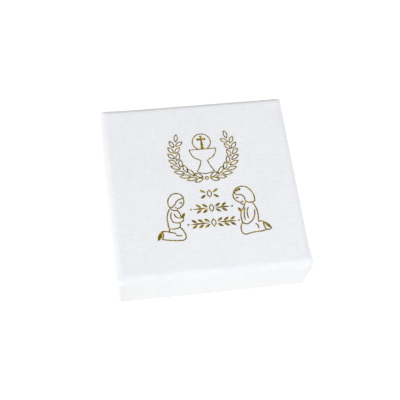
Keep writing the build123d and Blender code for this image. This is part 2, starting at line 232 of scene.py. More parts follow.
# %% A material from a recipe
def finish(name, recipe, **constants):
    """The recipe gives the shader's changing inputs, and the constants go straight on it."""
    material = bpy.data.materials.new(name)
    material.use_nodes = True
    tree = material.node_tree
    shader = tree.nodes["Principled BSDF"]
    for key, value in constants.items():
        shader.inputs[key.replace("_", " ")].default_value = value
    for key, wire in recipe(tree).items():
        tree.links.new(wire.socket, shader.inputs[key])
    print(name, "has", len(tree.nodes), "nodes")
    return material


# %% [markdown]
# ## Linen paper
# Linen paper is plain white paper pressed between rollers that leave the print of a cloth: fine
# threads across and fainter ones along, about two to a millimetre, none of them quite even. Here
# and there a thread swells to a slub, which shows as a short grey fleck one way or the other. Only
# hundredths of a millimetre deep, all this is a bump. It follows the flat sheet's own coordinates,
# so the threads run on over a fold as they do on the real box. Where the sheet's attribute says so,
# shade is painted into the paper's colour: painted shade on the folds and the upright corners, and
# a painted shadow in the narrow gap beside a flap's edge.

# %% Linen paper
thread_pitch = 0.6  # from one thread to the next
streak_size = 0.55  # breaks the threads up
slub_size = 1.1
fibre_size = 0.18
drift_size = 4.0  # over which the threads wander
blotch_size = 14.0  # the sheet's faint cloudiness
thread_depth = 0.09
drift_turn = 9.0  # how far the threads wander, as an angle of their wave
weft_stretch, warp_stretch = (7, 0.5, 1), (0.5, 6, 1)
slub_stretches = (2.5, 1, 1), (1, 2.5, 1)
paper_white = colour(0.925, 0.935, 0.948)
paper_shade = colour(0.79, 0.812, 0.842)


def linen_threads(tree, flat):
    """0 between the threads and 1 on top of one."""
    side, down, _ = split(flat)
    drift = cloud(flat, drift_size) * drift_turn
    turns = 2 * math.pi / thread_pitch
    weft_streaks = cloud(sheet_place(tree, weft_stretch), streak_size, 3)
    warp_streaks = cloud(sheet_place(tree, warp_stretch), streak_size, 3)
    weft = (down * turns + drift).wave() * 0.45 + weft_streaks * 0.9
    warp = (side * turns + drift).wave() * 0.3 + warp_streaks * 0.7
    return (weft * 0.62 + warp * 0.38).ramp(0.15, 0.95)


def linen_recipe(tree):
    flat = sheet_place(tree)
    # Painted shade: the sheet's attribute darkens the paper on folds and corners, and paints a
    # shadow in the flap's gap.
    painted_shade = add_node(tree, "ShaderNodeAttribute", {"attribute_name": "painted_shade"}, output="Fac")
    threads = linen_threads(tree, flat)
    fibre = cloud(flat, fibre_size, 3)
    blotch = cloud(flat, blotch_size, 2) - 0.5
    first, second = [cloud(sheet_place(tree, way), slub_size, 2) for way in slub_stretches]
    slubs = first + second - 1
    # the last share paints shade into the paper from the sheet's attribute
    shade = (1 - threads) * 0.5 + slubs * 0.4 + blotch * 0.5 + fibre * 0.15 + painted_shade * 0.6
    return {
        "Base Color": tint(shade, paper_white, paper_shade),
        "Roughness": 0.66 + fibre * 0.14 + painted_shade * 0.1,
        "Normal": grain(threads * 0.8 + fibre * 0.2, thread_depth, 0.8),
    }


linen_paper = finish("linen_paper", linen_recipe, Specular_IOR_Level=0.1)

# %% [markdown]
# ## Gold foil
# Hot foil is a film of metal far thinner than a hair, pressed on by a heated die. On a linen grain
# it takes up the threads, so a line glints in places and is dull olive in others. The finish is
# metal, and the glints are painted into its colour: a cloud blends it from the dull olive to a
# bright gold. A fine bump breaks up its gloss.

# %% Gold foil
painted_glint_size = 0.9
press_size = 0.25  # the marks that the linen leaves in the film
press_depth = 0.02
# the bright gold of the painted glints, and the dull olive between them
painted_glint_gold = colour(0.5, 0.345, 0.01)
foil_dull = colour(0.16, 0.108, 0.001)


def foil_recipe(tree):
    place = object_place(tree)
    # Painted glints: a cloud blends the metal's colour from dull olive to bright gold.
    painted_glint = cloud(place, painted_glint_size, 2).ramp(0.46, 0.68)
    press = cloud(place, press_size, 2)
    return {
        "Base Color": tint(painted_glint, foil_dull, painted_glint_gold),
        "Roughness": 0.42 - painted_glint * 0.14 + press * 0.1,
        "Normal": grain(press, press_depth, 0.5),
    }


gold_foil = finish("gold_foil", foil_recipe, Metallic=1.0)

# %% [markdown]
# ## Greyboard, tape, lining and card
# These show only with the lid off. Greyboard is pulped waste paper: grey brown, with dark and pale
# specks and short fibres. The corner tape is kraft paper with its fibres along the strip, and the
# lining and the card are smooth white stock with a faint cloudiness.

# %% Greyboard
pulp_size, pulp_depth = 0.35, 0.06
dark_speck_size, pale_speck_size = 0.22, 0.3
pulp_dark, pulp_pale = colour(0.3, 0.26, 0.215), colour(0.4, 0.36, 0.31)
speck_dark, speck_pale = colour(0.1, 0.09, 0.08), colour(0.6, 0.56, 0.5)


def greyboard_recipe(tree):
    place = object_place(tree)
    fibres = cloud(object_place(tree, (3, 1, 1)), pulp_size, 4, 0.6)
    dark = cloud(place, dark_speck_size, 1).ramp(0.68, 0.76)
    pale = cloud(place, pale_speck_size, 1).ramp(0.28, 0.2)
    pulp = tint(fibres.ramp(0.3, 0.7), pulp_dark, pulp_pale)
    return {
        "Base Color": tint(pale * 0.5, tint(dark * 0.6, pulp, speck_dark), speck_pale),
        "Roughness": 0.82 + fibres * 0.14,
        "Normal": grain(fibres, pulp_depth, 0.7),
    }


greyboard = finish("greyboard", greyboard_recipe, Specular_IOR_Level=0.25)

# %% Gummed tape
kraft_size, kraft_depth = 0.3, 0.02
kraft_dark, kraft_pale = colour(0.32, 0.19, 0.09), colour(0.5, 0.33, 0.18)


def tape_recipe(tree):
    fibres = cloud(object_place(tree, (1, 1, 12)), kraft_size, 3, 0.6)
    return {
        "Base Color": tint(fibres, kraft_dark, kraft_pale),
        "Roughness": 0.5 + fibres * 0.2,
        "Normal": grain(fibres, kraft_depth, 0.6),
    }


gummed_tape = finish("gummed_tape", tape_recipe)

# %% Lining paper and card
mottle_size = 2.5
stock_fibre_size, stock_depth = 0.2, 0.015
lining_white, lining_shade = colour(0.86, 0.86, 0.85), colour(0.78, 0.78, 0.77)
card_white, card_shade = colour(0.8, 0.79, 0.76), colour(0.7, 0.69, 0.66)


def stock_recipe(white, shade):
    """The recipe of a smooth paper or card between two colours."""

    def recipe(tree):
        place = object_place(tree)
        mottle = cloud(place, mottle_size, 4, 0.6)
        fibres = cloud(place, stock_fibre_size, 3)
        return {
            "Base Color": tint(mottle * 0.7 + fibres * 0.3, white, shade),
            "Roughness": 0.6 + mottle * 0.2,
            "Normal": grain(fibres, stock_depth, 0.6),
        }

    return recipe


lining_paper = finish("lining_paper", stock_recipe(lining_white, lining_shade))
white_card = finish("white_card", stock_recipe(card_white, card_shade))

# %% [markdown]
# ## Flock
# Flock is a nap of short fibres that stand on the pad like cut velvet. The shader's sheen makes the
# rim of the pad glow, as the sides of the fibres do. Small tufts are a bump, and where the nap has
# been stroked one way it looks a little darker.

# %% Flock
nap_size = 0.12
tuft_size = 0.5
stroke_size = 7.0  # the patches where the nap was stroked one way
nap_depth = 0.16
flock_pale, flock_deep = colour(0.83, 0.82, 0.79), colour(0.63, 0.62, 0.59)


def flock_recipe(tree):
    place = object_place(tree)
    nap = cloud(place, nap_size, 3, 0.7)
    tufts = cloud(place, tuft_size, 3, 0.6)
    stroked = cloud(object_place(tree, (1.6, 1, 1)), stroke_size, 2)
    lie = (nap * 0.3 + tufts * 0.7).ramp(0.3, 0.7) * 0.7 + stroked * 0.3
    return {
        "Base Color": tint(lie, flock_pale, flock_deep),
        "Roughness": 0.85 + nap * 0.15,
        "Normal": grain(nap * 0.5 + tufts * 0.5, nap_depth, 0.8),
    }


sheen = {"Sheen_Weight": 0.35, "Sheen_Roughness": 0.4}
flock = finish("flocked_cover", flock_recipe, Specular_IOR_Level=0.1, **sheen)

# %% [markdown]
# ## The nodes that stay
# Boards, tapes, linings and the flat foil drawings have the right shape already, and only get their
# finish.

# %% Dress the CAD nodes
kept = {
    "greyboard": (greyboard, ["lid_board", "base_board"]),
    "gummed tape": (gummed_tape, [name for name in nodes if "corner_stay" in name]),
    "lining paper": (lining_paper, ["lid_lining", "base_foot_sheet"]),
    "card": (white_card, ["pad_card"]),
    "foil": (gold_foil, [name for name in nodes if name.startswith("foil_")]),
}
for title, (material, names) in kept.items():
    for name in names:
        for material_slot in nodes[name].material_slots:
            material_slot.material = material
    print(title, "on", len(names), "nodes")

# %% [markdown]
# ## One sheet of paper round a tray
# The lid's paper is one sheet: it lies on the top, folds down over the four walls, folds again
# under their rims and ends pasted to their insides. The base's paper is the same upside down, with
# its middle cut away under the foot sheet. So one function makes both, from stations along the
# sheet: how far each is in from the wall, how far it is from the flat face and how round its
# corners are. Each becomes a ring of points round the box, and neighbouring rings are joined by
# faces.

# %% Stations along the sheet
fold_steps = 10
wall_steps = 10
rim_steps = 4
flap_steps = 4
opening = 1.5  # how late along the fold its corner opens from the mitre to the full radius


def quarter_round(radius, centre, height, turns):
    """Stations round one edge of the rim."""
    stations = []
    for turn in turns:
        inset = centre - radius * math.cos(turn)
        drop = height - radius + radius * math.sin(turn)
        stations.append((inset, drop, max(corner_radius - inset, inner_rim_radius)))
    return stations


def sheet_stations(height, flat_insets):
    """(inset, drop, corner radius) of each ring, from the flat face to the rim's inner edge."""
    stations = [(inset, 0.0, mitre_radius) for inset in flat_insets]
    for step in range(fold_steps + 1):
        turn = math.pi / 2 * step / fold_steps
        inset = fold_radius * (1 - math.sin(turn))
        drop = fold_radius * (1 - math.cos(turn))
        radius = mitre_radius + (corner_radius - mitre_radius) * (step / fold_steps) ** opening
        stations.append((inset, drop, radius))
    length = height - rim_radius - fold_radius
    for step in range(1, wall_steps + 1):
        stations.append((0.0, fold_radius + length * step / wall_steps, corner_radius))
    turns = [math.pi / 2 * step / rim_steps for step in range(rim_steps + 1)]
    stations += quarter_round(rim_radius, rim_radius, height, turns[1:])
    over = [math.pi / 2 + turn for turn in turns]
    stations += quarter_round(inner_rim_radius, wall - inner_rim_radius, height, over)
    return stations


# %% [markdown]
# A ring is a rounded rectangle. Its straight sides carry four close points near each end, where a
# pasted flap ends in a narrow gap, and more points between them, so that the wall can be slightly
# uneven.

# %% Ring of points
corner_steps = 6
side_steps = 26
edge_stops = (0.04 * MM, 0.1 * MM, 0.26 * MM, 0.32 * MM)  # across the gap, from the corner's arc
quarters = [Vector((1, 0)), Vector((0, 1)), Vector((-1, 0)), Vector((0, -1))]
corner_signs = [(1, 1), (-1, 1), (-1, -1), (1, -1)]  # of x and y at each corner, anticlockwise
back, left, front, right = range(4)  # the side that follows each corner


def outward(side):
    """The direction that a side faces."""
    return quarters[(side + 1) % 4]


def side_places(length, drawn_in):
    """Places along a straight side whose two ends are drawn in, closest together at its ends."""
    *stops, start = [stop + drawn_in for stop in edge_stops]
    turns = [math.pi * step / side_steps for step in range(side_steps + 1)]
    middle = [start + (length - 2 * start) * (1 - math.cos(turn)) / 2 for turn in turns]
    return [*stops, *middle, *[length - stop for stop in reversed(stops)]]


def ring(half, radius, drawn_in=0.0):
    """Points round a rounded rectangle, each with its side, or with None in a corner."""
    points = []
    for quarter, sign in enumerate(corner_signs):
        centre = Vector([s * (h - radius) for s, h in zip(sign, half)])
        for step in range(corner_steps + 1):
            turn = math.pi / 2 * (quarter + step / corner_steps)
            points.append((centre + radius * Vector((math.cos(turn), math.sin(turn))), None))
        start = centre + radius * outward(quarter)
        heading = quarters[(quarter + 2) % 4]
        length = 2 * (half[quarter % 2] - radius)
        points += [(start + heading * place, quarter) for place in side_places(length, drawn_in)]
    return points


print("points in a ring:", len(ring((lid_high.x, lid_high.y), corner_radius)))

# %% [markdown]
# Pasted paper is never as true as a drawing. The walls swell a little between their corners. The
# ears folded under each corner of the lid lift the paper there and push it out, no two by the same
# amount. The front and back flaps end just short of the upright corners: the cut edge stands off a
# little, and beside it is a narrow gap. Shade is painted into the paper: a painted shadow in that
# gap, and less painted shade on the folds and the upright corners. The mesh keeps how much in an
# attribute, which the paper's finish reads.

# %% Small faults of a pasted sheet
swell = 0.22 * MM  # the most that a wall swells
ripple, ripple_size = 0.05 * MM, 9.0 * MM
edge_rise, edge_spread = 0.1 * MM, 2.5 * MM  # how a flap's cut edge stands off
edge_slack = 0.1 * MM  # a point this near to the cut edge is on the flap
gap_edges = (0.07 * MM, 0.29 * MM)  # from the corner's arc
gap_depth = 0.17 * MM
# At the corners: rear right, rear left, front left, front right
ear_lift = (0.1 * MM, 0.5 * MM, 0.1 * MM, 0.15 * MM)
ear_bulk = (0.05 * MM, 0.1 * MM, 0.2 * MM, 0.45 * MM)
ear_reach = 5.0 * MM  # from the corner along the paper
ear_drop = 3  # down the wall, in fold radii
# Painted shade that dims the highlights of the folds, for the back, left, front and right.
fold_painted_shade = (0.62, 0.05, 0.75, 0.45)  # how grey the folds are: back, left, front, right
# A painted shadow in the gap beside a flap's edge, and painted shade that dims the upright corners'
# highlight.
gap_painted_shadow, corner_painted_shade = 0.7, 0.4


def fading(distance):
    """1 at no distance, falling smoothly to almost nothing at 2."""
    return math.exp(-(distance**2))


# %% Walls and the edges of flaps
def uneven(point, side, half, drop, seed):
    """How far a wall's point is out or in, as a swell with a slight ripple."""
    along = point.x / half[0] if side in (front, back) else point.y / half[1]
    bow = swell * (1 - along * along)
    place = Vector((point.x, point.y, drop)) / ripple_size
    return bow + ripple * noise.noise(place + Vector((seed, 0, 0))) * (1 - along**4)


def in_gap(point, half):
    """Whether a point of the front or back wall is in the gap beside a flap's edge."""
    return gap_edges[0] < half[0] - corner_radius - abs(point.x) < gap_edges[1]


def flap_level(point, half):
    """How far out the front or back wall is: in the gap, over the ear, or on the flap."""
    past = half[0] - corner_radius - edge_stops[-1] - abs(point.x)
    if in_gap(point, half):
        return -gap_depth
    return -flap_step if past < -edge_slack else edge_rise * fading(past / edge_spread)


def wall_point(point, side, half, drop, height, seed):
    """A ring's point with the faults of its wall, which fade out towards the fold."""
    fade = min(max((drop - fold_radius / 2) / fold_radius, 0), 1)
    if side is not None and drop < height:
        point = point + outward(side) * uneven(point, side, half, drop, seed) * fade
    if drop > fold_radius and side in (front, back):
        point.y += math.copysign(flap_level(point, half), point.y)
    elif drop > fold_radius and side is None:
        point.y = math.copysign(min(abs(point.y), half[1] - flap_step), point.y)
    return point


# %% Corners over the ears
def ear_share(point, half, amounts):
    """The amount at the nearest corner, fading out with the distance from it."""
    signs = (1 if point.x > 0 else -1, 1 if point.y > 0 else -1)
    away = math.dist((abs(point.x), abs(point.y)), half) / ear_reach
    return amounts[corner_signs.index(signs)] * fading(away)


def pushed_by_ears(point, inner, radius, half, drop):
    """A ring's point moved straight out by the ear under its corner, most just below the fold."""
    core = Vector([max(radius - h, min(h - radius, v)) for v, h in zip(point, inner)])
    below = drop / fold_radius
    share = min(below, 1) * fading(max(below - 1, 0) / ear_drop)
    return point + (point - core).normalized() * ear_share(point, half, ear_bulk) * share


# %% Painted shade
def painted_shade_at(point, side, half, drop, height):
    """How much shade is painted on a point, from 0 to 1: a painted shadow in the gap, painted shade
    on folds and corners.
    """
    if side in (front, back) and drop > fold_radius and in_gap(point, half):
        return gap_painted_shadow
    if 0 < drop < fold_radius:
        most = sum(fold_painted_shade) / len(fold_painted_shade) if side is None else fold_painted_shade[side]
        return most * math.sin(2 * math.acos(1 - drop / fold_radius))
    return corner_painted_shade if side is None and fold_radius <= drop < height else 0.0


# %% [markdown]
# Now the sheet itself. The middle of the lid's flat face is one polygon inside the first ring, and
# the base's sheet is open there. The sheet's own coordinates run on from the flat face along the
# paper, so the linen threads turn over the fold. Solidify then makes it as thick as paper.

# %% Rings and rows of the sheet
def strip_sides():
    """The wall of each strip between neighbouring points of a ring. Two walls share a corner."""
    half_corner = corner_steps // 2
    sides = []
    for side in (back, left, front, right):
        sides += [(side + 3) % 4] * half_corner
        sides += [side] * (half_corner + side_steps + 2 * len(edge_stops))
    return sides


def sheet_rings(half, height, flat_insets, ears, seed):
    """(inset, drop, points) of each ring, with the faults of its walls and corners."""
    for inset, drop, radius in sheet_stations(height, flat_insets):
        inner = (half[0] - inset, half[1] - inset)
        points = ring(inner, radius)
        shown = inset < wall / 2
        if shown and ears:
            points = [(pushed_by_ears(p, inner, radius, half, drop), s) for p, s in points]
        if shown:
            points = [(wall_point(p, s, half, drop, height, seed), s) for p, s in points]
        yield inset, drop, points


def flap_rows(half, height):
    """(rise, drop, points) of each row inside the walls, which has no points in the corners."""
    inner = (half[0] - wall, half[1] - wall)
    for step in range(1, flap_steps + 1):
        rise = (turn_in - inner_rim_radius) * step / flap_steps
        slant = turn_in_slant * step / flap_steps
        points = ring(inner, inner_rim_radius, slant)
        points = [(None if side is None else point, side) for point, side in points]
        yield rise, height - inner_rim_radius - rise, points


# %% Faces and the sheet's own coordinates
def join_rows(mesh, first, second, side_of):
    """Faces between two rows, wherever both have points."""
    for index, side in enumerate(strip_sides()):
        after = (index + 1) % len(first)
        corners = (first[index], second[index], second[after], first[after])
        if None not in corners:
            side_of[mesh.faces.new(corners)] = side


def face_away(mesh, flat_vertex, heading):
    """Turns the faces so that the flat one looks away from the box."""
    bmesh.ops.recalc_face_normals(mesh, faces=mesh.faces)
    flat = next(face for face in mesh.faces if flat_vertex in face.verts)
    if flat.normal.z * heading > 0:
        bmesh.ops.reverse_faces(mesh, faces=mesh.faces)


def lay_sheet_coordinates(mesh, half, reach_of, side_of):
    """Where each corner of each face was on the flat sheet."""
    layer = mesh.loops.layers.uv.new("sheet")
    for face in mesh.faces:
        side = side_of.get(face)
        for loop in face.loops:
            x, y, _ = loop.vert.co
            if side is not None:
                reach, way = reach_of[loop.vert], outward(side)
                x = way.x * (half[0] + reach) if way.x else x
                y = way.y * (half[1] + reach) if way.y else y
            loop[layer].uv = (x, y)


# %% A mesh as a finished piece
def finished_piece(name, mesh, material, thickness=0.0):
    """An object with its finish and, for a sheet, its thickness behind the shown side."""
    data = bpy.data.meshes.new(name)
    mesh.to_mesh(data)
    mesh.free()
    data.materials.append(material)
    piece = bpy.data.objects.new(name, data)
    scene.collection.objects.link(piece)
    if thickness:
        solidify = piece.modifiers.new("thickness", "SOLIDIFY")
        solidify.thickness = thickness
        solidify.offset = -1
    print(name, "has", len(data.polygons), "faces")
    return piece


def made_plain(piece):
    """Gives a piece the mesh that its modifiers make of it, and takes them off."""
    graph = bpy.context.evaluated_depsgraph_get()
    made = bpy.data.meshes.new_from_object(piece.evaluated_get(graph))
    piece.modifiers.clear()
    piece.data = made


# %% Paper round a tray
def folded_sheet(name, low, high, heading, flat_insets, ears, seed):
    """The paper of one tray. Its walls go down from the flat face for a heading of -1, up for 1.

    With ears, as on the lid, its corners bulge and its flat face is whole.
    """
    half, height = (high.x, high.y), high.z - low.z
    face_height = high.z if heading < 0 else low.z
    mesh = bmesh.new()
    # painted shade, kept on each vertex for the paper's finish
    painted_shade = mesh.verts.layers.float.new("painted_shade")
    reach_of, side_of, rows = {}, {}, []

    def lay_row(points, drop, reach):
        z = face_height + heading * drop
        row = [None if p is None else mesh.verts.new((p.x, p.y, z)) for p, _ in points]
        reach_of.update((vertex, reach) for vertex in row if vertex is not None)
        rows.append(row)

    reach, before = -flat_insets[0], None
    for inset, drop, points in sheet_rings(half, height, flat_insets, ears, seed):
        reach += math.dist((inset, drop), before) if before else 0
        before = (inset, drop)
        lay_row(points, drop, reach)
        for vertex, (point, side) in zip(rows[-1], points):
            # how much shade is painted at this vertex
            vertex[painted_shade] = painted_shade_at(point, side, half, drop, height)
            if ears:
                vertex.co.z += ear_share(point, half, ear_lift) * fading(drop / fold_radius)
    for rise, drop, points in flap_rows(half, height):
        lay_row(points, drop, reach + rise)
    for first, second in zip(rows, rows[1:]):
        join_rows(mesh, first, second, side_of)
    if ears:
        mesh.faces.new(rows[0])
    face_away(mesh, rows[0][0], heading)
    lay_sheet_coordinates(mesh, half, reach_of, side_of)
    for face in mesh.faces:
        face.smooth = True
    return finished_piece(name, mesh, linen_paper, paper)


# %% [markdown]
# The lid's sheet starts at its middle and folds down. The base's sheet starts at its cut edge under
# the foot sheet and folds up. Each one stands for a wrap of the CAD model.

# %% Lid paper and base paper
top_insets = [inset * MM for inset in (13, 9, 6.5, 5, 4, 3.2, 2.5)]  # closest near the fold
foot_insets = [turn_under, fold_radius + 0.5 * MM]

lid_paper = folded_sheet("lid_paper", lid_low, lid_high, -1, top_insets, ears=True, seed=0.0)
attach(lid_paper, "lid")
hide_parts("lid_wrap")

base_paper = folded_sheet("base_paper", base_low, base_high, 1, foot_insets, ears=False, seed=5.0)
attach(base_paper, "base")
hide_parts("base_wrap")

# %% [markdown]
# ## The wreath
# Two branches of leaves follow one ring from its foot upwards, each with a row of leaves outside
# the ring, a row inside it and one leaf at its tip. The leaves are longest part of the way up.
# Every leaf is the same small outline, so Geometry Nodes place it: one point for each leaf, whose
# number tells its branch, its row and how far along it is. A leaf is turned and stretched into
# place there, and the knot is added at the foot. The sizes are named inputs of the tree.

# %% One leaf
leaf_points = 9  # along each side
leaf_length = 3.1 * MM
leaf_width = 1.48 * MM
leaf_fullness = 0.8  # 1 for a half wave, less for a fuller side
leaf_tip = 1.6  # how many times further the line moves in at a tip than at a side
foil_line = 0.32 * MM


def leaf_outline(inset):
    """A pointed oval along X from the origin, moved inwards by inset."""
    outline = []
    tip = leaf_tip * inset
    for step in range(2 * leaf_points):
        share = 1 - abs(1 - step / leaf_points)
        way = -1 if step < leaf_points else 1
        x = tip + (leaf_length - 2 * tip) * share
        y = way * (leaf_width / 2 - inset) * max(math.sin(math.pi * share), 0) ** leaf_fullness
        outline.append((x, y))
    return outline


def join_loops(mesh, first, second):
    """A band of faces between two closed rows of vertices."""
    for index in range(len(first)):
        after = (index + 1) % len(first)
        mesh.faces.new((first[index], first[after], second[after], second[index]))


def leaf_mesh(top):
    """The foil line round a leaf: its upper face and its two thin edges."""
    mesh = bmesh.new()
    loops = []
    for inset in (0.0, foil_line):
        for z in (top - foil, top):
            loops.append([mesh.verts.new((x, y, z)) for x, y in leaf_outline(inset)])
    outer_low, outer_high, inner_low, inner_high = loops
    join_loops(mesh, outer_low, outer_high)
    join_loops(mesh, outer_high, inner_high)
    join_loops(mesh, inner_high, inner_low)
    return mesh


# %% A Geometry Nodes tree
class Tree:
    """A Geometry Nodes tree with named inputs."""

    def __init__(self, name):
        self.tree = bpy.data.node_groups.new(name, "GeometryNodeTree")
        for way in ("INPUT", "OUTPUT"):
            kind = "NodeSocketGeometry"
            self.tree.interface.new_socket("Geometry", in_out=way, socket_type=kind)
        self.values = {}

    def ask(self, name, kind, value):
        """Adds an input, and keeps its value for the modifier."""
        socket = self.tree.interface.new_socket(name, in_out="INPUT", socket_type=kind)
        self.values[socket.identifier] = value

    def start(self):
        """The tree's inputs by name, as wires."""
        node = self.tree.nodes.new("NodeGroupInput")
        return {socket.name: Wire(self.tree, socket) for socket in node.outputs if socket.name}

    def end(self, geometry):
        node = self.tree.nodes.new("NodeGroupOutput")
        self.tree.links.new(geometry.socket, node.inputs["Geometry"])

    def run(self, piece):
        """The tree's result on a piece, as a plain mesh in place of the piece's own."""
        modifier = piece.modifiers.new(self.tree.name, "NODES")
        modifier.node_group = self.tree
        for identifier, value in self.values.items():
            modifier[identifier] = value
        made_plain(piece)
        while piece.data.materials[0] is None:
            piece.data.materials.pop(index=0)  # a slot left from before Set Material


# %% Sizes of the wreath
outer_leaves = 9
inner_leaves = 7
knot_points = 24
wreath_sizes = {
    "Ring radius": 9.4 * MM,
    "Ring height": 12.0 * MM,
    "Outer start": math.radians(6),
    "Outer end": math.radians(104),
    "Inner start": math.radians(6.5),
    "Inner end": math.radians(108),
    "Tip angle": math.radians(117),
    "Low tilt": math.radians(24),  # a leaf's angle to the ring, at the foot
    "Outer high tilt": math.radians(40),  # and at the tip
    "Inner high tilt": math.radians(44),
    "Tip tilt": math.radians(-17),  # the tip's own leaf turns out
    "Outer peak": math.radians(38),  # how far up the leaves of a row are longest
    "Inner peak": math.radians(23),
    "Outer spread": math.radians(26),  # and over how much of it
    "Inner spread": math.radians(14),
    "Outer growth": 0.26,  # by what share they are longer there
    "Inner growth": 0.24,
    "Outer aside": 0.25 * MM,  # how far off the ring the longest outer leaves start
    "Inner aside": 0.2 * MM,  # and all the inner ones
    "Knot radius": 0.5 * MM,
    "Print shift": 1.2 * MM,
    "Print drop": 0.4 * MM,
    "Line": foil_line,
    "Foil": foil,
    "Top": lid_high.z + foil,
}


# %% Where each leaf goes
def join_axes(tree, **axes):
    """A vector from values or wires for X, Y and Z."""
    return add_node(tree, "ShaderNodeCombineXYZ", inputs=axes)


def along_row(size, name, number, count):
    """The angle of a leaf of the outer or inner row, from the foot of the ring."""
    start, end = size[f"{name} start"], size[f"{name} end"]
    return start + (end - start) * number * (1 / (count - 1))


def sort_leaves(tree):
    """A leaf's branch, -1 or 1, its number there, and 1 or 0 for outer, inner and tip."""
    index = add_node(tree, "GeometryNodeInputIndex")
    branch = index.maths("MODULO", index, 2) * 2 - 1
    leaf = index.maths("FLOOR", index * 0.5)
    outer = leaf.maths("LESS_THAN", leaf, outer_leaves)
    tip = leaf.maths("GREATER_THAN", leaf, outer_leaves + inner_leaves - 0.5)
    return branch, leaf, outer, 1 - outer - tip, tip


def place_leaves(tree, size):
    """The place, turn and stretch of each leaf."""
    branch, leaf, outer, inner, tip = sort_leaves(tree)
    outer_angle = along_row(size, "Outer", leaf, outer_leaves)
    inner_angle = along_row(size, "Inner", leaf - outer_leaves, inner_leaves)
    angle = outer * outer_angle + inner * inner_angle + tip * size["Tip angle"]
    high_tilt = outer * size["Outer high tilt"] + inner * size["Inner high tilt"]
    tilt = size["Low tilt"] + (high_tilt - size["Low tilt"]) * (angle / size["Tip angle"])
    turned = angle + (inner - outer) * tilt + tip * size["Tip tilt"]
    outer_peak = outer * angle.bell(size["Outer peak"], size["Outer spread"])
    inner_peak = inner * angle.bell(size["Inner peak"], size["Inner spread"])
    length = 1 + outer_peak * size["Outer growth"] + inner_peak * size["Inner growth"]
    radius = size["Ring radius"] - (inner * size["Inner aside"] - outer_peak * size["Outer aside"])
    x = branch * radius * angle.maths("SINE", angle) + size["Print shift"]
    y = size["Ring height"] - radius * angle.maths("COSINE", angle) - size["Print drop"]
    heading = branch * turned + (1 - branch) * (math.pi / 2)
    stretch = join_axes(tree, X=length, Y=1.0, Z=1.0)
    return join_axes(tree, X=x, Y=y), join_axes(tree, Z=heading), stretch


# %% The knot
def wreath_knot(tree, size):
    """The small ring where the two branches meet."""
    shape = {"Resolution": knot_points, "Radius": size["Knot radius"]}
    circle = add_node(tree, "GeometryNodeCurvePrimitiveCircle", inputs=shape)
    shape = {"Width": size["Line"], "Height": size["Foil"]}
    section = add_node(tree, "GeometryNodeCurvePrimitiveQuadrilateral", inputs=shape)
    curves = {"Curve": circle, "Profile Curve": section}
    band = add_node(tree, "GeometryNodeCurveToMesh", inputs=curves)
    foot = size["Ring height"] - size["Ring radius"] - size["Print drop"]
    middle = size["Top"] - size["Foil"] * 0.5
    place = join_axes(tree, X=size["Print shift"], Y=foot, Z=middle)
    return add_node(tree, "GeometryNodeTransform", inputs={"Geometry": band, "Translation": place})


# %% Wreath
def wreath_tree():
    wreath = Tree("wreath")
    for name, value in wreath_sizes.items():
        wreath.ask(name, "NodeSocketFloat", value)
    wreath.ask("Finish", "NodeSocketMaterial", gold_foil)
    size = wreath.start()
    tree = wreath.tree
    place, rotation, stretch = place_leaves(tree, size)
    count = 2 * (outer_leaves + inner_leaves + 1)
    points = add_node(tree, "GeometryNodePoints", inputs={"Count": count, "Position": place})
    leaf = {"Instance": size["Geometry"], "Rotation": rotation, "Scale": stretch}
    leaves = add_node(tree, "GeometryNodeInstanceOnPoints", inputs={"Points": points, **leaf})
    both = add_node(tree, "GeometryNodeJoinGeometry", inputs={"Geometry": leaves})
    tree.links.new(wreath_knot(tree, size).socket, both.socket.node.inputs["Geometry"])
    real = add_node(tree, "GeometryNodeRealizeInstances", inputs={"Geometry": both})
    painted = {"Geometry": real, "Material": size["Finish"]}
    wreath.end(add_node(tree, "GeometryNodeSetMaterial", inputs=painted))
    return wreath


wreath_piece = finished_piece("foil_leaves", leaf_mesh(lid_high.z + foil), gold_foil)
wreath_tree().run(wreath_piece)
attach(wreath_piece, "lid")
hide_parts("foil_wreath")
print("wreath:", len(wreath_piece.data.polygons), "faces")

# %% [markdown]
# ## The earring pad
# The pad is a block of soft foam under a flocked sheet, glued to its card. A block with rounded
# edges starts it. Cloth simulation then blows it up slightly, as foam fills its cover, with its
# lower part pinned where it is glued. Cloth behaves better at a larger size, so the block is worked
# at twenty times its size and shrunk again. No point may move further than the cap.

# %% Pad block
pad_low, pad_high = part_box("pad_cover")
pad_edge = 1.2 * MM  # the radius of its edges
pad_crown = 0.45 * MM  # how much higher its middle is
pad_voxel = 0.75 * MM
block_cuts = 40  # across each face
glued_share = 0.45  # of the pad's height, from below
cloth_scale = 20.0
cloth_frames = 20
cloth_cap = 0.3 * MM  # the furthest that a point may move
cloth_settings = {
    "quality": 5,
    "mass": 0.3,
    "tension_stiffness": 40,
    "compression_stiffness": 40,
    "bending_stiffness": 5,
    "use_pressure": True,
    "uniform_pressure_force": 4.0,
}


def rounded_block(low, high, radius, cuts):
    """A closed block of small squares with rounded edges."""
    mesh = bmesh.new()
    bmesh.ops.create_cube(mesh, size=2.0)
    bmesh.ops.subdivide_edges(mesh, edges=mesh.edges, cuts=cuts, use_grid_fill=True)
    middle, half = (low + high) / 2, (high - low) / 2
    for vertex in mesh.verts:
        place = Vector([c * h for c, h in zip(vertex.co, half)])
        core = Vector([max(-h + radius, min(h - radius, p)) for p, h in zip(place, half)])
        out = place - core
        if out.length > 0:
            place = core + out.normalized() * radius
        vertex.co = middle + place
    return mesh


def with_modifier(piece, kind, **settings):
    """Runs one modifier on a piece and keeps the result."""
    modifier = piece.modifiers.new(kind.lower(), kind)
    for key, value in settings.items():
        setattr(modifier, key, value)
    made_plain(piece)


